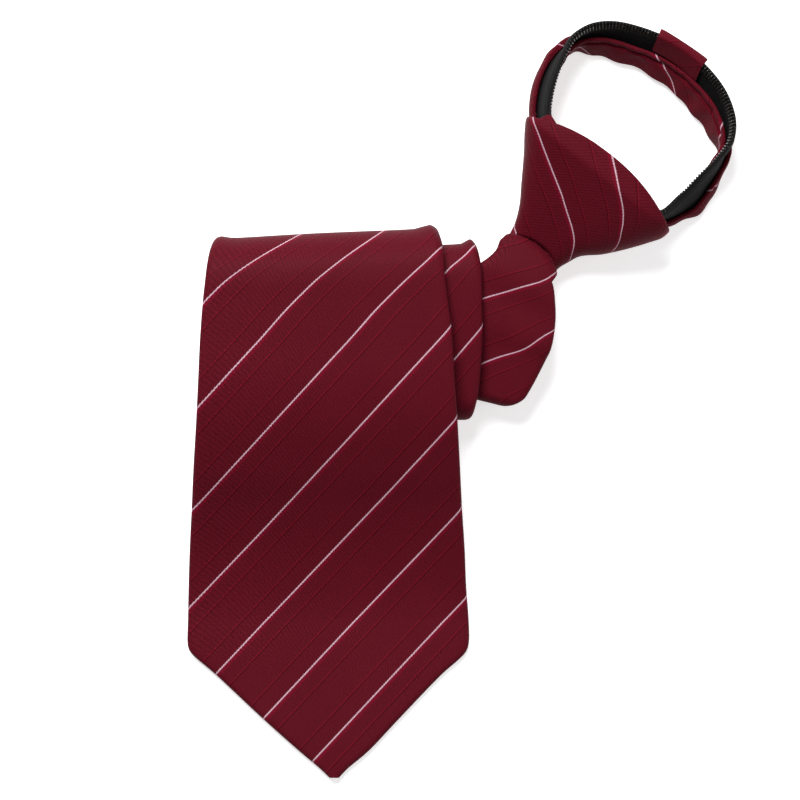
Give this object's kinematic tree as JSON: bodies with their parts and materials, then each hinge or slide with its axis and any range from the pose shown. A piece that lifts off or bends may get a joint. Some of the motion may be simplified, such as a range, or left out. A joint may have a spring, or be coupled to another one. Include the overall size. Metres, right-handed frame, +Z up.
{
  "type": "zipper necktie",
  "caption": "Ready-tied striped necktie with a fixed knot, a zip neck loop, and a wide pointed blade wound in a flat roll.",
  "frame": {"origin": "on the table under the middle of the whole tie's box, as it lies face up", "axes": "+Z up off the table, +Y from the blade's point to the neck loop, +X to the right of the front blade seen from above"},
  "size_m": [0.158, 0.2176, 0.0266],
  "materials": {
    "cloth": "twill weave silk look with thin pale, bright and dark diagonal stripes, soft sheen",
    "binding": "the same striped cloth cut as a narrow folded binding",
    "tape": "matt black woven zip tape",
    "teeth": "satin black nylon coil"
  },
  "bodies": {
    "root": {"blade": "cloth", "knot_wrap": "cloth", "knot_inner_wrap": "cloth", "neck_band": "binding", "keeper": "binding", "tail": "binding", "zipper_tape_left": "tape", "zipper_tape_right": "tape", "zipper_teeth_left": "teeth", "zipper_teeth_right": "teeth", "zipper_slider": "teeth"}
  },
  "joints": []
}
